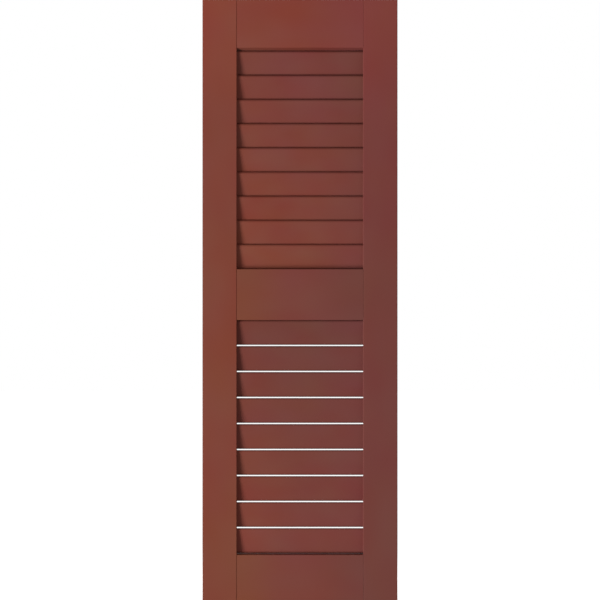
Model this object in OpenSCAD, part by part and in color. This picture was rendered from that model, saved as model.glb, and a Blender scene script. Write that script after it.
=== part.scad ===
// Louvred shutter panel: two stiles and three rails joined with dowels, with fixed
// louvres housed in the stiles above and below the middle rail.
//
// Frame: +Z up, +X to the right as seen from the front, the front faces -Y.
// The origin is the centre of the back face, which lies in the plane y = 0.

/* [Panel] */
// Height of the panel
panel_h = 1176; // [900:0.5:1500]
// Width of the panel
panel_w = 381; // [280:0.5:520]
// Thickness of the stiles and rails
panel_t = 31.75; // [26:0.25:45]

/* [Stiles and rails] */
// Width of each stile
stile_w = 67; // [50:0.5:90]
// Height of the top rail at its front face
top_rail_h = 94; // [70:0.5:140]
// Height of the middle rail at its front face
middle_rail_h = 100; // [70:0.5:140]
// Height of the bottom rail at its front face
bottom_rail_h = 91; // [70:0.5:140]
// Height of the middle rail's centre above the panel's mid-height
middle_rail_raise = 11.5; // [-80:0.5:80]
// Radius of the stiles' long edges
stile_edge_r = 1.5; // [0.5:0.1:3]
// Radius of the rails' long edges and of the edges at the stiles' ends
edge_r = 1; // [0.5:0.1:2]

/* [Louvres] */
// Width of a louvre from nose to nose
louvre_w = 49.2; // [36:0.1:64]
// Thickness of a louvre, which is also the diameter of its noses
louvre_t = 9.5; // [6:0.1:12]
// Lean of a louvre from upright, with its top nose forward
louvre_lean = 10; // [7:0.1:16]
// Most that neighbouring louvres may lap in front view
louvre_lap = 1.5; // [0.2:0.1:2]
// Depth that a louvre's end reaches into a stile
louvre_tenon = 9.5; // [5:0.5:20]
// Clearance around a louvre in its housing
louvre_fit = 0.2; // [0.1:0.05:0.4]
// Clearance between a louvre's end and the floor of its housing
louvre_end_fit = 0.5; // [0.2:0.1:1]
// Clearance between an end louvre and the planed edge of its rail
rail_fit = 0.9; // [0.5:0.1:1.5]

/* [Space at the openings' ends, where a minus is a lap] */
// From the top rail's front edge to the first upper louvre
upper_head_gap = 6.4; // [-1:0.1:12]
// From the last upper louvre to the middle rail's front edge
upper_sill_gap = -0.5; // [-1:0.1:6]
// From the middle rail's front edge to the first lower louvre
lower_head_gap = -0.4; // [-1:0.1:12]
// From the last lower louvre to the bottom rail's front edge
lower_sill_gap = 3.6; // [-1:0.1:6]

/* [Dowels] */
// Diameter of a dowel
dowel_d = 10; // [8:0.5:14]
// Length of a dowel, half in the stile and half in the rail
dowel_l = 80; // [50:1:90]
// Distance between the two dowels of a joint
dowel_spacing = 50; // [35:1:55]
// Clearance around a dowel in its bore
dowel_fit = 0.05; // [0.02:0.01:0.1]
// Clearance between a dowel's end and the floor of its bore
dowel_end_fit = 1; // [0.5:0.1:3]

/* [Hidden] */
$fn = 48;
paint = [0.49, 0.26, 0.23];
beech = [0.83, 0.67, 0.47];
eps = 0.01;

// The clear opening between the stiles
opening_w = panel_w - 2 * stile_w;

// Heights of the rails' front edges above the panel's centre
top_z = panel_h / 2;
upper_head_z = top_z - top_rail_h;
upper_sill_z = middle_rail_raise + middle_rail_h / 2;
lower_head_z = middle_rail_raise - middle_rail_h / 2;
lower_sill_z = bottom_rail_h - top_z;

// A louvre's height in front view, and how deep the centres of its two noses lie
chord = louvre_w - louvre_t;
louvre_rise = chord * cos(louvre_lean) + louvre_t;
nose_y = chord / 2 * sin(louvre_lean);
front_nose_depth = panel_t / 2 - nose_y;
back_nose_depth = panel_t / 2 + nose_y;

// As many louvres as fit at the closest spacing fill each opening evenly
closest_pitch = louvre_rise - louvre_lap;
upper_travel = upper_head_z - upper_sill_z - upper_head_gap - upper_sill_gap - louvre_rise;
lower_travel = lower_head_z - lower_sill_z - lower_head_gap - lower_sill_gap - louvre_rise;
upper_count = floor(upper_travel / closest_pitch) + 1;
lower_count = floor(lower_travel / closest_pitch) + 1;
upper_first_z = upper_head_z - upper_head_gap - louvre_rise / 2;
lower_first_z = lower_head_z - lower_head_gap - louvre_rise / 2;

// Centre heights of evenly spaced louvres, from the top one down
function louvre_heights(first, travel, count) =
    [for (i = [0 : count - 1]) first - i * travel / max(count - 1, 1)];

upper_heights = louvre_heights(upper_first_z, upper_travel, upper_count);
lower_heights = louvre_heights(lower_first_z, lower_travel, lower_count);

// Slope of a rail's planed edge: a line from the rail's front edge that passes the
// louvre's nose at the rail clearance. It is positive towards the louvre.
function planed_slope(gap, depth) =
    let (reach = gap + louvre_t / 2)
    atan2(reach, depth) - asin((louvre_t / 2 + rail_fit) / norm([reach, depth]));

// How far that edge has moved towards the louvre where it meets the back face
function planed_run(gap, depth) = panel_t * tan(planed_slope(gap, depth));

upper_head_run = planed_run(upper_head_gap, front_nose_depth);
upper_sill_run = planed_run(upper_sill_gap, back_nose_depth);
lower_head_run = planed_run(lower_head_gap, front_nose_depth);
lower_sill_run = planed_run(lower_sill_gap, back_nose_depth);

// Heights of the two dowels about a rail's centre
function dowel_heights(centre) = [for (side = [-1, 1]) centre + side * dowel_spacing / 2];

top_dowels = dowel_heights((top_z + upper_head_z) / 2);
middle_dowels = dowel_heights(middle_rail_raise);
bottom_dowels = dowel_heights((lower_sill_z - top_z) / 2);

// Numbered names of a bank's louvres, from the top one down
function node_names(stem, count) = [for (i = [1 : count]) str(stem, i)];

// A vector of length 1 the same way
function unit(v) = v / norm(v);

// Half the angle that an outline's corner p makes between its neighbours a and b
function corner_half_angle(a, p, b) = acos(unit(a - p) * unit(b - p)) / 2;

// Where the easing arc touches the side from corner p towards corner q
function touch_point(p, q, half_angle, radius) = p + unit(q - p) * radius / tan(half_angle);

// Centre of the easing arc at corner p
function arc_centre(a, p, b, radius) =
    p + unit(unit(a - p) + unit(b - p)) * radius / sin(corner_half_angle(a, p, b));

// A convex outline with every corner eased to the same radius
module eased_outline(corners, radius) {
    count = len(corners);
    polygon([
        for (i = [0 : count - 1])
            let (
                a = corners[(i + count - 1) % count],
                p = corners[i],
                b = corners[(i + 1) % count],
                half_angle = corner_half_angle(a, p, b)
            )
            each [touch_point(p, a, half_angle, radius), touch_point(p, b, half_angle, radius)]
    ]);
    for (i = [0 : count - 1])
        let (a = corners[(i + count - 1) % count], b = corners[(i + 1) % count])
        translate(arc_centre(a, corners[i], b, radius)) circle(radius);
}

// Turns a section drawn as depth against height into a bar along X, about x = 0
module bar_along_x(length) {
    rotate([90, 0, 90]) linear_extrude(length, center = true) children();
}

// A louvre's section, with round noses, about its own centre
module louvre_section(clearance) {
    rotate(louvre_lean) {
        square([louvre_t + 2 * clearance, chord], center = true);
        for (end = [-1, 1]) translate([0, end * chord / 2]) circle(louvre_t / 2 + clearance);
    }
}

module louvre(height) {
    color(paint)
        translate([0, -panel_t / 2, height])
            bar_along_x(opening_w + 2 * louvre_tenon) louvre_section(0);
}

// The pockets for every louvre's ends, cut in both stiles at once
module louvre_housings() {
    for (height = concat(upper_heights, lower_heights))
        translate([0, -panel_t / 2, height])
            bar_along_x(opening_w + 2 * (louvre_tenon + louvre_end_fit))
                louvre_section(louvre_fit);
}

// Cylinders across a frame joint, on one side of the panel, at the given heights
module joint_pins(side, heights, diameter, length) {
    for (height = heights)
        translate([side * opening_w / 2, -panel_t / 2, height])
            rotate([0, 90, 0]) cylinder(d = diameter, h = length, center = true);
}

module dowel_bores(side, heights) {
    joint_pins(side, heights, dowel_d + 2 * dowel_fit, dowel_l + 2 * dowel_end_fit);
}

module dowels(heights) {
    color(beech)
        for (side = [-1, 1]) joint_pins(side, heights, dowel_d, dowel_l);
}

// A plain stile, eased along its length and at its ends
module stile_bar(side) {
    inner = side * opening_w / 2;
    outer = side * panel_w / 2;
    left = min(inner, outer);
    right = max(inner, outer);
    intersection() {
        translate([0, 0, -top_z])
            linear_extrude(panel_h)
                eased_outline([[left, -panel_t], [right, -panel_t], [right, 0], [left, 0]], stile_edge_r);
        bar_along_x(panel_w + 2 * eps)
            eased_outline([[-panel_t, -top_z], [0, -top_z], [0, top_z], [-panel_t, top_z]], edge_r);
    }
}

module stile(side) {
    color(paint) difference() {
        stile_bar(side);
        louvre_housings();
        dowel_bores(side, concat(top_dowels, middle_dowels, bottom_dowels));
    }
}

// A rail between two front heights, whose edges run up or down towards the back
module rail(low, high, low_run, high_run, dowel_zs) {
    color(paint) difference() {
        bar_along_x(opening_w)
            eased_outline([
                [-panel_t, low],
                [0, low + low_run],
                [0, high + high_run],
                [-panel_t, high]
            ], edge_r);
        for (side = [-1, 1]) dowel_bores(side, dowel_zs);
    }
}

module left_stile() stile(-1);
module right_stile() stile(1);
module top_rail() rail(upper_head_z, top_z, -upper_head_run, 0, top_dowels);
module middle_rail() rail(lower_head_z, upper_sill_z, -lower_head_run, upper_sill_run, middle_dowels);
module bottom_rail() rail(-top_z, lower_sill_z, 0, lower_sill_run, bottom_dowels);
module top_rail_dowels() dowels(top_dowels);
module middle_rail_dowels() dowels(middle_dowels);
module bottom_rail_dowels() dowels(bottom_dowels);

left_stile();
right_stile();
top_rail();
middle_rail();
bottom_rail();
top_rail_dowels();
middle_rail_dowels();
bottom_rail_dowels();
for (i = [1 : upper_count])
    louvre(upper_heights[i - 1]);
for (i = [1 : lower_count])
    louvre(lower_heights[i - 1]);
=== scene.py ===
"""Looks of a painted wooden louvred shutter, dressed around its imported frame."""

import logging
import math
from dataclasses import dataclass
from enum import Enum

import bmesh
import bpy
from mathutils import Matrix, Vector


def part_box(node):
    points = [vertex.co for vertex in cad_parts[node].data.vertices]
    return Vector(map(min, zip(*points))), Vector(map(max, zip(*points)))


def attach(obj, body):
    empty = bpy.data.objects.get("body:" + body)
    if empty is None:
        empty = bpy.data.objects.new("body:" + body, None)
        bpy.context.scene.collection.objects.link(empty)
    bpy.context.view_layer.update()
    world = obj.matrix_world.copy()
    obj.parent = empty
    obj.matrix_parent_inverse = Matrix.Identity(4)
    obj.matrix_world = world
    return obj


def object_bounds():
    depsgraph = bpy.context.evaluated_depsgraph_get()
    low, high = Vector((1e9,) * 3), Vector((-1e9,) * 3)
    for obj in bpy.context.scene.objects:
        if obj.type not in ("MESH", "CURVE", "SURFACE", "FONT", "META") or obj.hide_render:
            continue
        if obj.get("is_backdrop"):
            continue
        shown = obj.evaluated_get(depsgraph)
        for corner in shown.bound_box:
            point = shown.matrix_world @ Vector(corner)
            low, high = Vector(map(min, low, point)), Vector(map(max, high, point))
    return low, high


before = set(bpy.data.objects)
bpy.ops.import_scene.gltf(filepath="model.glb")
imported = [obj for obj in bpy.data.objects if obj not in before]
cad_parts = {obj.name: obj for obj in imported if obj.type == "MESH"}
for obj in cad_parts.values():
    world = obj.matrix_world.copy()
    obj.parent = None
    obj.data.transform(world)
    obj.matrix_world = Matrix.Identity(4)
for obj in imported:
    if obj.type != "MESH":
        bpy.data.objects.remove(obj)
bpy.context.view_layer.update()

log = logging.getLogger("shutter")
MM = 0.001
# The span that holds nearly all values of a noise, and the narrower one that holds most.
NOISE_SPAN = {"From Min": 0.25, "From Max": 0.75}
NOISE_CORE = {"From Min": 0.3, "From Max": 0.7}


class Axis(Enum):
    """A direction of the shared frame, by its place among a point's coordinates."""

    X = 0
    Z = 2


class Side(Enum):
    """The side of the panel that a louvre's end goes into, by the sign of its X."""

    LEFT = -1
    RIGHT = 1


def linear(hex_colour: str) -> tuple[float, float, float, float]:
    """Turns an sRGB hex colour into linear light.

    Args:
        hex_colour: Six hex digits, such as "7c423a".

    Returns:
        Red, green, blue and an alpha of 1.
    """
    channels = [int(hex_colour[i : i + 2], 16) / 255 for i in (0, 2, 4)]
    lit = [c / 12.92 if c <= 0.04045 else ((c + 0.055) / 1.055) ** 2.4 for c in channels]
    return (lit[0], lit[1], lit[2], 1.0)


def add_node(
    tree: bpy.types.NodeTree,
    kind: str,
    settings: dict | None = None,
    inputs: dict | None = None,
    links: dict | None = None,
) -> bpy.types.Node:
    """Adds one node with its settings, its input values and its incoming links.

    Args:
        tree: The node tree that takes the node.
        kind: The node's type name.
        settings: Attributes of the node itself.
        inputs: Values by input name or index.
        links: Output sockets by input name or index.

    Returns:
        The new node.
    """
    node = tree.nodes.new(kind)
    for name, value in (settings or {}).items():
        setattr(node, name, value)
    for key, value in (inputs or {}).items():
        node.inputs[key].default_value = value
    for key, socket in (links or {}).items():
        tree.links.new(socket, node.inputs[key])
    return node


def new_material(name: str) -> tuple[bpy.types.Material, bpy.types.NodeTree]:
    """Makes a material with an empty node tree.

    Args:
        name: The material's name.

    Returns:
        The material and its tree.
    """
    material = bpy.data.materials.new(name)
    material.use_nodes = True
    material.node_tree.nodes.clear()
    return material, material.node_tree


def add_piece(name: str, shape: bmesh.types.BMesh, finish: bpy.types.Material) -> bpy.types.Object:
    """Turns a bmesh into an object at the origin, in one finish.

    Args:
        name: The piece's name.
        shape: Its shape, in metres, which is freed here.
        finish: Its material.

    Returns:
        The new object.
    """
    mesh = bpy.data.meshes.new(name)
    shape.to_mesh(mesh)
    shape.free()
    mesh.materials.append(finish)
    piece = bpy.data.objects.new(name, mesh)
    bpy.context.scene.collection.objects.link(piece)
    log.info("made %s with %d faces in %s", name, len(mesh.polygons), finish.name)
    return piece


def dress(names: list[str], finish: bpy.types.Material) -> None:
    """Gives CAD pieces a finish in place of their plain one.

    Args:
        names: The CAD pieces.
        finish: The material that they take.
    """
    for name in names:
        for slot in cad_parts[name].material_slots:
            slot.material = finish
        log.info("dressed %s in %s", name, finish.name)


@dataclass(frozen=True)
class ToneAndShadeField:
    """The slow drift of a paint's tone over the boards that share it, with painted light and shade
    in it.

    One row of tones runs along the boards' drift axis at the near edge and another at the
    far edge, and the paint passes evenly from the near row to the far row. The rows carry
    painted light and shade: paler on the lit left, darker towards the right, and darker at a
    louvre bank's head as painted shade under the rail above it.

    Attributes:
        drift: The axis that both rows run along.
        start: Where the rows start on that axis, in metres.
        end: Where they end.
        near: Tones of the near row, evenly spaced from start to end, with painted light and shade.
        far: Tones of the far row, with painted light and shade.
        near_edge: Where the near row lies on the other axis, in metres.
        far_edge: Where the far row lies.
        wander: How far a tone strays from its place, in millimetres.
        wander_size: Size of those strays, in millimetres.
    """

    drift: Axis
    start: float
    end: float
    near: tuple[str, ...]
    far: tuple[str, ...]
    near_edge: float
    far_edge: float
    wander: float = 35.0
    wander_size: float = 150.0

    def row(
        self, tree: bpy.types.NodeTree, tones: tuple[str, ...], place: bpy.types.NodeSocket
    ) -> bpy.types.NodeSocket:
        """Adds one row of tones.

        Args:
            tree: The material's tree.
            tones: The row's tones.
            place: The place along the row, from 0 to 1.

        Returns:
            The row's colour.
        """
        ramp = add_node(tree, "ShaderNodeValToRGB", links={"Fac": place})
        stops = ramp.color_ramp.elements
        ramp.color_ramp.interpolation = "EASE"
        for _ in tones[2:]:
            stops.new(0.5)
        for i, tone in enumerate(tones):
            stops[i].position = i / (len(tones) - 1)
            stops[i].color = linear(tone)
        return ramp.outputs["Color"]

    def build(
        self, tree: bpy.types.NodeTree, point: bpy.types.NodeSocket
    ) -> bpy.types.NodeSocket:
        """Adds the whole field.

        Args:
            tree: The material's tree.
            point: The surface point, in metres.

        Returns:
            The field's colour.
        """
        stray = add_node(
            tree,
            "ShaderNodeTexNoise",
            inputs={"Scale": 1 / (self.wander_size * MM), "Detail": 1.0},
            links={"Vector": point},
        )
        offset = add_node(
            tree,
            "ShaderNodeVectorMath",
            {"operation": "SUBTRACT"},
            {1: (0.5, 0.5, 0.5)},
            {0: stray.outputs["Color"]},
        )
        reach = 2 * self.wander * MM
        strayed = add_node(
            tree,
            "ShaderNodeVectorMath",
            {"operation": "MULTIPLY_ADD"},
            {1: (reach, reach, reach)},
            {0: offset.outputs[0], 2: point},
        )
        parts = add_node(tree, "ShaderNodeSeparateXYZ", links={0: strayed.outputs[0]})
        other = Axis.Z if self.drift is Axis.X else Axis.X
        along = add_node(
            tree,
            "ShaderNodeMapRange",
            inputs={"From Min": self.start, "From Max": self.end},
            links={"Value": parts.outputs[self.drift.value]},
        )
        across = add_node(
            tree,
            "ShaderNodeMapRange",
            inputs={"From Min": self.near_edge, "From Max": self.far_edge},
            links={"Value": parts.outputs[other.value]},
        )
        place = along.outputs["Result"]
        # Mixes the near row into the far row, painted light and shade included.
        blend = add_node(
            tree,
            "ShaderNodeMix",
            {"data_type": "RGBA"},
            links={
                0: across.outputs["Result"],
                6: self.row(tree, self.near, place),
                7: self.row(tree, self.far, place),
            },
        )
        return blend.outputs[2]


@dataclass(frozen=True)
class SatinPaint:
    """Exterior satin paint, brushed over primed timber.

    The eye gets a deep, even body colour with hardly any gloss. Its hue drifts softly over
    each board. Close to, long shallow brush marks follow the board, the grain telegraphs
    through, a fine orange peel breaks the sheen, and the end grain stays open.

    Attributes:
        name: The material's name.
        run: The way the boards run.
        tones: The drift of the body colour, with painted light and shade in its tones.
        board_step: Height from one board to the next, for boards with tones of their own.
        board_top: Top of the first of those boards.
        board_shift: How far the pattern moves from one board to the next, in board steps.
        blotch: Size of a soft patch of hue across a board, in millimetres.
        blotch_stretch: Length of a patch along the board, in times that size.
        hue_spread: How far a patch's hue strays, on a circle of 1.
        saturation_spread: How far its saturation strays, in shares.
        value_spread: How far its brightness strays, in shares.
        brush_spacing: From one brush mark to the next, in millimetres. Real ones are about
            1 mm apart, so they are drawn coarser to show.
        brush_length: Length of a brush mark, in millimetres.
        brush_height: Height of a brush mark, in millimetres.
        grain_spacing: From one telegraphed growth ring to the next, in millimetres.
        grain_length: Length over which a ring keeps its course, in millimetres.
        grain_height: Height that they stand in the paint, in millimetres.
        peel_size: Size of an orange peel dimple, in millimetres, drawn coarse to show.
        peel_height: Depth of a dimple, in millimetres.
        pore_size: Size of an open end grain pore, in millimetres, drawn coarse to show.
        pore_height: Depth of a pore, in millimetres.
        roughness: Roughness of the sheen, from its smoothest to its dullest.
        ior: Index of refraction of the binder.
        specular: Strength of the sheen, lowered because the matting agent scatters it.
    """

    name: str
    run: Axis
    tones: ToneAndShadeField
    board_step: float = 0.0
    board_top: float = 0.0
    board_shift: float = 17.0
    blotch: float = 80.0
    blotch_stretch: float = 1.6
    hue_spread: float = 0.004
    saturation_spread: float = 0.03
    value_spread: float = 0.02
    brush_spacing: float = 4.0
    brush_length: float = 180.0
    brush_height: float = 0.01
    grain_spacing: float = 11.0
    grain_length: float = 330.0
    grain_height: float = 0.016
    peel_size: float = 3.5
    peel_height: float = 0.003
    pore_size: float = 1.6
    pore_height: float = 0.12
    roughness: tuple[float, float] = (0.5, 0.6)
    ior: float = 1.5
    specular: float = 0.08

    def stretched(
        self,
        tree: bpy.types.NodeTree,
        point: bpy.types.NodeSocket,
        across: float,
        along: float,
        detail: float,
    ) -> bpy.types.NodeSocket:
        """Adds a noise that is drawn out along the board.

        Args:
            tree: The material's tree.
            point: The surface point, in metres.
            across: Size of a feature across the board, in millimetres.
            along: Size of a feature along the board, in millimetres.
            detail: Detail of the noise.

        Returns:
            The noise, from 0 to 1.
        """
        scale = [1 / (across * MM)] * 3
        scale[self.run.value] = 1 / (along * MM)
        mapping = add_node(
            tree, "ShaderNodeMapping", inputs={"Scale": scale}, links={"Vector": point}
        )
        noise = add_node(
            tree,
            "ShaderNodeTexNoise",
            inputs={"Scale": 1.0, "Detail": detail},
            links={"Vector": mapping.outputs["Vector"]},
        )
        return noise.outputs["Fac"]

    def own_point(
        self, tree: bpy.types.NodeTree, point: bpy.types.NodeSocket
    ) -> bpy.types.NodeSocket:
        """Moves each board of a bank to a part of the pattern of its own.

        Args:
            tree: The material's tree.
            point: The surface point, in metres.

        Returns:
            The point in the board's own part of the pattern.
        """
        if not self.board_step:
            return point
        parts = add_node(tree, "ShaderNodeSeparateXYZ", links={0: point})
        drop = add_node(
            tree,
            "ShaderNodeMath",
            {"operation": "SUBTRACT"},
            {1: self.board_top},
            {0: parts.outputs["Z"]},
        )
        board = add_node(
            tree,
            "ShaderNodeMath",
            {"operation": "SNAP"},
            {1: self.board_step},
            {0: drop.outputs[0]},
        )
        moved = add_node(
            tree,
            "ShaderNodeMath",
            {"operation": "MULTIPLY_ADD"},
            {1: self.board_shift},
            {0: board.outputs[0], 2: parts.outputs["Z"]},
        )
        own = add_node(
            tree,
            "ShaderNodeCombineXYZ",
            links={"X": parts.outputs["X"], "Y": parts.outputs["Y"], "Z": moved.outputs[0]},
        )
        return own.outputs["Vector"]

    def colour(
        self,
        tree: bpy.types.NodeTree,
        point: bpy.types.NodeSocket,
        own: bpy.types.NodeSocket,
    ) -> bpy.types.NodeSocket:
        """Adds the body colour: the tone field with soft patches of hue over it.

        Args:
            tree: The material's tree.
            point: The surface point, in metres.
            own: The point in the board's own part of the pattern.

        Returns:
            The colour.
        """
        along = self.blotch_stretch * self.blotch
        shifts = {}
        for key, phase, middle, spread in (
            ("Hue", 0.0, 0.5, self.hue_spread),
            ("Saturation", 3.1, 1.0, self.saturation_spread),
            ("Value", 7.7, 1.0, self.value_spread),
        ):
            moved = add_node(
                tree,
                "ShaderNodeVectorMath",
                {"operation": "ADD"},
                {1: (phase, phase, phase)},
                {0: own},
            )
            patch = self.stretched(tree, moved.outputs[0], self.blotch, along, 1.0)
            shift = add_node(
                tree,
                "ShaderNodeMapRange",
                inputs={**NOISE_SPAN, "To Min": middle - spread, "To Max": middle + spread},
                links={"Value": patch},
            )
            shifts[key] = shift.outputs["Result"]
        body = add_node(
            tree,
            "ShaderNodeHueSaturation",
            links={"Color": self.tones.build(tree, point), **shifts},
        )
        return body.outputs["Color"]

    def end_grain(
        self, tree: bpy.types.NodeTree, coordinates: bpy.types.Node
    ) -> bpy.types.NodeSocket:
        """Adds the open pores of the boards' sawn ends.

        Args:
            tree: The material's tree.
            coordinates: The texture coordinate node.

        Returns:
            The pores, from 0 to 1, and 0 off the ends.
        """
        facing = add_node(
            tree, "ShaderNodeSeparateXYZ", links={0: coordinates.outputs["Normal"]}
        )
        size = add_node(
            tree,
            "ShaderNodeMath",
            {"operation": "ABSOLUTE"},
            links={0: facing.outputs[self.run.value]},
        )
        on_end = add_node(
            tree,
            "ShaderNodeMapRange",
            inputs={"From Min": 0.8, "From Max": 0.95},
            links={"Value": size.outputs[0]},
        )
        pores = add_node(
            tree,
            "ShaderNodeTexVoronoi",
            inputs={"Scale": 1 / (self.pore_size * MM)},
            links={"Vector": coordinates.outputs["Object"]},
        )
        shown = add_node(
            tree,
            "ShaderNodeMath",
            {"operation": "MULTIPLY"},
            links={0: on_end.outputs["Result"], 1: pores.outputs["Distance"]},
        )
        return shown.outputs[0]

    def build(self) -> bpy.types.Material:
        """Makes the material.

        Returns:
            The finished material.
        """
        material, tree = new_material(self.name)
        coordinates = add_node(tree, "ShaderNodeTexCoord")
        point = coordinates.outputs["Object"]
        own = self.own_point(tree, point)
        brush = self.stretched(tree, own, self.brush_spacing, self.brush_length, 3.0)
        grain = self.stretched(tree, own, self.grain_spacing, self.grain_length, 2.0)
        peel = self.stretched(tree, own, self.peel_size, self.peel_size, 1.0)
        height = None
        for layer, tallest in (
            (brush, self.brush_height),
            (grain, self.grain_height),
            (peel, self.peel_height),
            (self.end_grain(tree, coordinates), self.pore_height),
        ):
            links = {0: layer} if height is None else {0: layer, 2: height}
            added = add_node(
                tree,
                "ShaderNodeMath",
                {"operation": "MULTIPLY_ADD"},
                {1: tallest * MM, 2: 0.0},
                links,
            )
            height = added.outputs[0]
        bump = add_node(
            tree, "ShaderNodeBump", inputs={"Distance": 1.0}, links={"Height": height}
        )
        smoothest, dullest = self.roughness
        dulling = add_node(
            tree,
            "ShaderNodeMapRange",
            inputs={**NOISE_CORE, "To Min": smoothest, "To Max": dullest},
            links={"Value": brush},
        )
        shader = add_node(
            tree,
            "ShaderNodeBsdfPrincipled",
            inputs={"IOR": self.ior, "Specular IOR Level": self.specular},
            links={
                "Base Color": self.colour(tree, point, own),
                "Roughness": dulling.outputs["Result"],
                "Normal": bump.outputs["Normal"],
            },
        )
        add_node(tree, "ShaderNodeOutputMaterial", links={"Surface": shader.outputs["BSDF"]})
        return material


@dataclass(frozen=True)
class TurnedBeech:
    """Bare beech, turned into dowels.

    The eye gets a dry, pale straw colour with short darker flecks along the grain.

    Attributes:
        name: The material's name.
        pale: Colour between the flecks.
        fleck: Colour of a fleck.
        fleck_length: Length of a fleck, in millimetres.
        fleck_width: Width of a fleck, in millimetres. Real ones are about 0.2 mm wide, so
            they are drawn wider to show.
        fleck_edge: Where the flecks' colour ends and the pale one begins, on the noise.
        fleck_height: Depth of the turned grain, in millimetres.
        roughness: Roughness of the bare wood.
        ior: Index of refraction of wood.
    """

    name: str = "turned_beech"
    pale: str = "d9b78a"
    fleck: str = "b98d5c"
    fleck_length: float = 4.0
    fleck_width: float = 0.7
    fleck_edge: tuple[float, float] = (0.36, 0.56)
    fleck_height: float = 0.04
    roughness: float = 0.62
    ior: float = 1.46

    def build(self) -> bpy.types.Material:
        """Makes the material.

        Returns:
            The finished material.
        """
        material, tree = new_material(self.name)
        coordinates = add_node(tree, "ShaderNodeTexCoord")
        across = 1 / (self.fleck_width * MM)
        mapping = add_node(
            tree,
            "ShaderNodeMapping",
            inputs={"Scale": (1 / (self.fleck_length * MM), across, across)},
            links={"Vector": coordinates.outputs["Object"]},
        )
        noise = add_node(
            tree,
            "ShaderNodeTexNoise",
            inputs={"Scale": 1.0, "Detail": 2.0},
            links={"Vector": mapping.outputs["Vector"]},
        )
        flecks = add_node(tree, "ShaderNodeValToRGB", links={"Fac": noise.outputs["Fac"]})
        colours = (self.fleck, self.pale)
        for stop, place, colour in zip(flecks.color_ramp.elements, self.fleck_edge, colours):
            stop.position = place
            stop.color = linear(colour)
        bump = add_node(
            tree,
            "ShaderNodeBump",
            inputs={"Distance": self.fleck_height * MM},
            links={"Height": noise.outputs["Fac"]},
        )
        shader = add_node(
            tree,
            "ShaderNodeBsdfPrincipled",
            inputs={"Roughness": self.roughness, "IOR": self.ior},
            links={"Base Color": flecks.outputs["Color"], "Normal": bump.outputs["Normal"]},
        )
        add_node(tree, "ShaderNodeOutputMaterial", links={"Surface": shader.outputs["BSDF"]})
        return material


@dataclass
class JoinedFrame:
    """The two stiles and the three rails that join them.

    Attributes:
        stiles: The upright members, from the left.
        rails: The cross members, from the top.
        left_stile_tones_and_light: Tones of the left stile, from its head to its foot, paler as
            painted light on the lit side.
        right_stile_tones_and_shade: Tones of the right stile, from its head to its foot, darker as
            painted shade away from the light.
        top_rail_tones_and_shade: Tones of the top rail, from left to right, darkening to the right
            as painted shade.
        lower_rail_tones_and_shade: Tones of the two rails below it, from left to right, darkening
            to the right as painted shade.
    """

    stiles: tuple[str, ...] = ("left_stile", "right_stile")
    rails: tuple[str, ...] = ("top_rail", "middle_rail", "bottom_rail")
    # Painted light and shade: the left stile is paler than the right one, and each rail darkens to
    # the right, away from the softbox on the left.
    left_stile_tones_and_light: tuple[str, ...] = ("864234", "7c4036", "7b4032", "7b4134", "794131")
    right_stile_tones_and_shade: tuple[str, ...] = ("82403a", "783c38", "733e37", "733d38", "713f37")
    top_rail_tones_and_shade: tuple[str, ...] = ("834337", "834136", "81413c")
    lower_rail_tones_and_shade: tuple[str, ...] = ("794332", "773e37", "71403a")

    def build(self) -> None:
        """Dresses the stiles and the rails, each with brush marks along its own length."""
        left_low, left_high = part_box(self.stiles[0])
        right_low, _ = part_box(self.stiles[1])
        stile_paint = SatinPaint(
            name="stile_satin_paint",
            run=Axis.Z,
            tones=ToneAndShadeField(
                drift=Axis.Z,
                start=left_high[2],
                end=left_low[2],
                near=self.left_stile_tones_and_light,
                far=self.right_stile_tones_and_shade,
                near_edge=left_high[0],
                far_edge=right_low[0],
            ),
        )
        dress(list(self.stiles), stile_paint.build())
        rail_low, rail_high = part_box(self.rails[0])
        rail_paint = SatinPaint(
            name="rail_satin_paint",
            run=Axis.X,
            tones=ToneAndShadeField(
                drift=Axis.X,
                start=rail_low[0],
                end=rail_high[0],
                near=self.top_rail_tones_and_shade,
                far=self.lower_rail_tones_and_shade,
                near_edge=rail_low[2],
                far_edge=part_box(self.rails[1])[1][2],
            ),
        )
        dress(list(self.rails), rail_paint.build())


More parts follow.
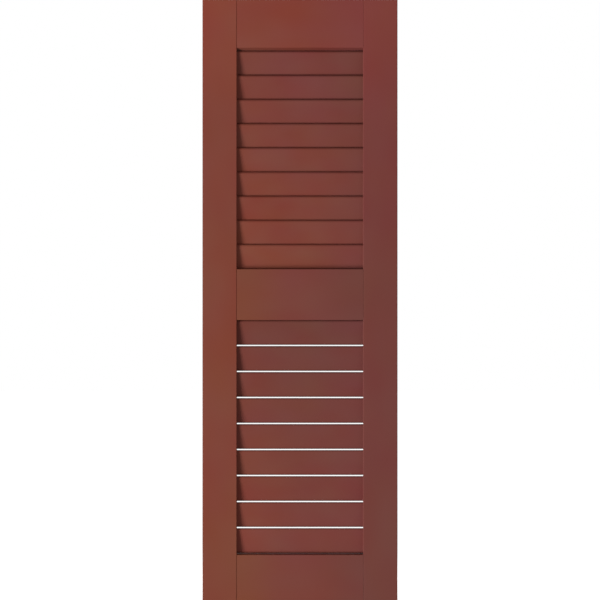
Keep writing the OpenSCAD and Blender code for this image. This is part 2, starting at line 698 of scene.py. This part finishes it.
@dataclass
class LouvreBank:
    """One bank of fixed louvres, with the paint that seals their ends in the stiles.

    Attributes:
        bank: The bank's name, which its louvres' names start with.
        head_tones_and_shade: Tones of its first louvre, from left to right, darker as painted
            shade under the rail above.
        sill_tones_and_shade: Tones of its last louvre, from left to right, darkening to the right
            as painted shade.
        slot: The name of a record's slot; it is not used.
        blotch: Size of a soft patch of hue across a louvre, in millimetres.
        thickness: Thickness of a louvre, in metres.
        bead: Size of the cove of paint where a louvre meets a stile, in metres.
        sink: How far a bead reaches into the timber that it sits on, in metres.
        cove_steps: Flats along the cove.
        outline_steps: Flats round both of a louvre's noses.
    """

    bank: str
    head_tones_and_shade: tuple[str, ...]
    sill_tones_and_shade: tuple[str, ...]
    slot: str = "louvre_paint"
    blotch: float = 50.0
    thickness: float = 9.5 * MM
    bead: float = 0.8 * MM
    sink: float = 0.15 * MM
    cove_steps: int = 4
    outline_steps: int = 48

    def louvres(self) -> list[str]:
        """Lists the bank's louvres from the top one down."""
        names = [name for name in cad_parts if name.startswith(self.bank + "_louvre_")]
        return sorted(names, key=lambda name: -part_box(name)[1][2])

    def wall(self) -> float:
        """Finds how far each stile's inner face stands from the panel's middle."""
        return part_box("right_stile")[0][0]

    def outline(self, shape: bmesh.types.BMesh, grow: float, x: float) -> list:
        """Draws the first louvre's rounded outline, grown outwards, at one X.

        Args:
            shape: The bmesh that takes it.
            grow: How far outside the louvre's surface it runs.
            x: Where it lies across the panel.

        Returns:
            Its edges.
        """
        low, high = (Vector(corner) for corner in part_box(self.louvres()[0]))
        spread = Vector((0, high.y - low.y - self.thickness, high.z - low.z - self.thickness))
        lean = math.atan2(spread.y, spread.z)
        half_step = Matrix.Rotation(math.pi / self.outline_steps, 4, "Z")
        ring = bmesh.ops.create_circle(
            shape,
            segments=self.outline_steps,
            radius=self.thickness / 2 + grow,
            matrix=half_step,
        )["verts"]
        for end in (-1, 1):
            nose = [v for v in ring if v.co.y * end > 0]
            bmesh.ops.translate(shape, verts=nose, vec=(0, end * spread.length / 2, 0))
        upright = Matrix(((0, 0, 1), (1, 0, 0), (0, 1, 0))).to_4x4()
        centre = Matrix.Translation((x, (low.y + high.y) / 2, (low.z + high.z) / 2))
        place = centre @ Matrix.Rotation(lean, 4, "X") @ upright
        bmesh.ops.transform(shape, matrix=place, verts=ring)
        return list({edge for v in ring for edge in v.link_edges})

    def bead_shape(self, side: Side) -> bmesh.types.BMesh:
        """Shapes the beads of paint round all of the bank's louvre ends on one side.

        Args:
            side: The side of the panel.

        Returns:
            The beads, as closed rings.
        """
        wall = self.wall() * side.value
        turn = math.pi / 2 / self.cove_steps
        cove = [
            (self.bead * (1 - math.sin(i * turn)), self.bead * (1 - math.cos(i * turn)))
            for i in range(self.cove_steps + 1)
        ]
        buried = [(-self.sink, self.bead), (-self.sink, -self.sink), (self.bead, -self.sink)]
        shape = bmesh.new()
        loops = [
            self.outline(shape, grow, wall - side.value * off_wall)
            for grow, off_wall in cove + buried
        ]
        for one, other in zip(loops, loops[1:] + loops[:1]):
            bmesh.ops.bridge_loops(shape, edges=one + other)
        for face in shape.faces:
            face.smooth = True
        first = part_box(self.louvres()[0])[1][2]
        ring = list(shape.verts) + list(shape.edges) + list(shape.faces)
        for name in self.louvres()[1:]:
            copied = bmesh.ops.duplicate(shape, geom=ring)["geom"]
            verts = [item for item in copied if isinstance(item, bmesh.types.BMVert)]
            bmesh.ops.translate(shape, verts=verts, vec=(0, 0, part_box(name)[1][2] - first))
        bmesh.ops.recalc_face_normals(shape, faces=shape.faces)
        return shape

    def build(self) -> None:
        """Dresses the louvres and seals both of their ends."""
        louvres = self.louvres()
        first_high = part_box(louvres[0])[1]
        last_low, last_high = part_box(louvres[-1])
        paint = SatinPaint(
            name=self.bank + "_louvre_satin_paint",
            run=Axis.X,
            tones=ToneAndShadeField(
                drift=Axis.X,
                start=-self.wall(),
                end=self.wall(),
                near=self.head_tones_and_shade,
                far=self.sill_tones_and_shade,
                near_edge=first_high[2],
                far_edge=last_low[2],
            ),
            board_step=(first_high[2] - last_high[2]) / (len(louvres) - 1),
            board_top=first_high[2],
            blotch=self.blotch,
        ).build()
        dress(louvres, paint)
        for side in Side:
            name = f"{self.bank}_{side.name.lower()}_paint_beads"
            beads = add_piece(name, self.bead_shape(side), paint)
            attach(beads, "root")


@dataclass
class JointDowels:
    """The dowels inside the frame's joints.

    Attributes:
        ending: What their names end with.
        finish: The bare wood that they are turned from.
    """

    ending: str = "_dowels"
    finish: TurnedBeech = TurnedBeech()

    def build(self) -> None:
        """Dresses the dowels in bare beech."""
        names = [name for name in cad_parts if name.endswith(self.ending)]
        dress(names, self.finish.build())


@dataclass
class Studio:
    """A plain white studio: a pale floor, two softboxes and a soft fill.

    Attributes:
        camera_distance: From the panel's front to the camera, so far that the panel's two
            sides look parallel. Lengths here are in metres.
        sensor: Width of the camera's sensor, in millimetres.
        sight: How far the camera sees.
        frame_height: Height that the camera's frame covers at the panel.
        above_frame: How far the panel's head stands above the frame.
        key_azimuth: Angle of the front softbox round to the right of the panel's front, in
            degrees, so that a minus is to the left.
        key_elevation: Its angle above the panel's middle, so that a minus is below.
        key_watts: Power of the front softbox.
        back_azimuth: Angle of the softbox behind the panel.
        back_elevation: Its angle above the panel's middle.
        back_watts: Power of the softbox behind the panel.
        softbox_distance: From the panel's middle to each softbox.
        softbox_width: Width of a softbox.
        softbox_height: Height of a softbox.
        fill_level: Brightness of the soft light that comes in level from all round.
        fill_upright: Brightness of the soft light from straight above and below.
        floor_reach: From the middle of the floor to its edges.
        floor_gap: From the panel's foot down to the floor.
        floor_tone: Colour of the floor.
        floor_roughness: Roughness of the floor's matt paint.
        floor_glow: Light that the floor gives off, so that it stays as pale as the studio.
    """

    camera_distance: float = 26.0
    sensor: float = 36.0
    sight: float = 200.0
    frame_height: float = 1.172
    above_frame: float = 1 * MM
    key_azimuth: float = -46.0
    key_elevation: float = -11.0
    key_watts: float = 142.0
    back_azimuth: float = 140.0
    back_elevation: float = 25.0
    back_watts: float = 86.0
    softbox_distance: float = 4.0
    softbox_width: float = 1.5
    softbox_height: float = 2.2
    fill_level: float = 0.70
    fill_upright: float = 0.05
    floor_reach: float = 60.0
    floor_gap: float = 1 * MM
    floor_tone: str = "f0efed"
    floor_roughness: float = 0.9
    floor_glow: float = 0.8

    def camera(self) -> None:
        """Sets a long lens level with the panel, square to its front."""
        low, high = (Vector(corner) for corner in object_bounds())
        lens = bpy.data.cameras.new("camera")
        lens.sensor_width = self.sensor
        lens.lens = self.sensor * self.camera_distance / self.frame_height
        lens.clip_end = self.sight
        camera = bpy.data.objects.new("camera", lens)
        middle = high.z - self.above_frame - self.frame_height / 2
        camera.location = ((low.x + high.x) / 2, low.y - self.camera_distance, middle)
        camera.rotation_euler = (math.radians(90), 0, 0)
        bpy.context.scene.collection.objects.link(camera)
        bpy.context.scene.camera = camera

    def softbox(self, name: str, azimuth: float, elevation: float, watts: float) -> None:
        """Hangs a softbox that faces the panel's middle.

        Args:
            name: The softbox's name.
            azimuth: Its angle round to the right of the panel's front, in degrees.
            elevation: Its angle above the panel's middle.
            watts: Its power.
        """
        low, high = (Vector(corner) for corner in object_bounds())
        middle = (low + high) / 2
        light = bpy.data.lights.new(name, "AREA")
        light.shape = "RECTANGLE"
        light.size = self.softbox_width
        light.size_y = self.softbox_height
        light.energy = watts
        softbox = bpy.data.objects.new(name, light)
        turn, rise = math.radians(azimuth), math.radians(elevation)
        level = Vector((math.sin(turn), -math.cos(turn), 0)) * math.cos(rise)
        away = level + Vector((0, 0, math.sin(rise)))
        softbox.location = middle + away * self.softbox_distance
        softbox.rotation_euler = (-away).to_track_quat("-Z", "Y").to_euler()
        softbox.visible_camera = False
        bpy.context.scene.collection.objects.link(softbox)

    def surround(self) -> None:
        """Fills the studio with soft light, strongest from the sides, before a white ground."""
        world = bpy.data.worlds.new("studio")
        world.use_nodes = True
        tree = world.node_tree
        tree.nodes.clear()
        ground = add_node(tree, "ShaderNodeBackground", inputs={0: (1, 1, 1, 1), 1: 1.0})
        way = add_node(tree, "ShaderNodeTexCoord")
        parts = add_node(tree, "ShaderNodeSeparateXYZ", links={0: way.outputs["Generated"]})
        steepness = add_node(
            tree, "ShaderNodeMath", {"operation": "ABSOLUTE"}, links={0: parts.outputs["Z"]}
        )
        strength = add_node(
            tree,
            "ShaderNodeMapRange",
            inputs={"To Min": self.fill_level, "To Max": self.fill_upright},
            links={"Value": steepness.outputs[0]},
        )
        light = add_node(
            tree,
            "ShaderNodeBackground",
            inputs={0: (1, 1, 1, 1)},
            links={1: strength.outputs["Result"]},
        )
        path = add_node(tree, "ShaderNodeLightPath")
        seen = add_node(
            tree,
            "ShaderNodeMixShader",
            links={0: path.outputs["Is Camera Ray"], 1: light.outputs[0], 2: ground.outputs[0]},
        )
        add_node(tree, "ShaderNodeOutputWorld", links={"Surface": seen.outputs[0]})
        bpy.context.scene.world = world

    def floor(self) -> None:
        """Lays a pale matt floor just under the panel."""
        material, tree = new_material("pale_matt_floor")
        shader = add_node(
            tree,
            "ShaderNodeBsdfPrincipled",
            inputs={
                "Base Color": linear(self.floor_tone),
                "Roughness": self.floor_roughness,
                "Specular IOR Level": 0.0,
                "Emission Color": (1, 1, 1, 1),
                "Emission Strength": self.floor_glow,
            },
        )
        add_node(tree, "ShaderNodeOutputMaterial", links={"Surface": shader.outputs["BSDF"]})
        shape = bmesh.new()
        bmesh.ops.create_grid(shape, x_segments=1, y_segments=1, size=self.floor_reach)
        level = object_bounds()[0][2] - self.floor_gap
        bmesh.ops.translate(shape, verts=shape.verts, vec=(0, 0, level))
        floor = add_piece("floor", shape, material)
        floor.visible_diffuse = False
        floor.visible_glossy = False
        floor.visible_shadow = False
        floor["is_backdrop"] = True

    def build(self) -> None:
        """Sets up the camera, the lights and the floor."""
        bpy.context.scene.view_settings.view_transform = "Standard"
        self.camera()
        self.softbox("front_softbox", self.key_azimuth, self.key_elevation, self.key_watts)
        self.softbox("back_softbox", self.back_azimuth, self.back_elevation, self.back_watts)
        self.surround()
        self.floor()


def main() -> None:
    """Dresses the panel, seals its louvres and sets up its studio."""
    JoinedFrame().build()
    # Each bank's head tones are darker than its sill tones: painted shade under the rail above the
    # bank, and each row darkens to the right as painted shade.
    LouvreBank(
        bank="upper",
        head_tones_and_shade=("794036", "783e3a", "733e37"),
        sill_tones_and_shade=("824234", "7d4134", "7a413b"),
    ).build()
    LouvreBank(
        bank="lower",
        head_tones_and_shade=("723c35", "6f3e37", "703e3a"),
        sill_tones_and_shade=("7f4135", "784038", "783e3a"),
    ).build()
    JointDowels().build()
    Studio().build()


if __name__ == "__main__":
    logging.basicConfig(level=logging.INFO, format="%(message)s")
    main()
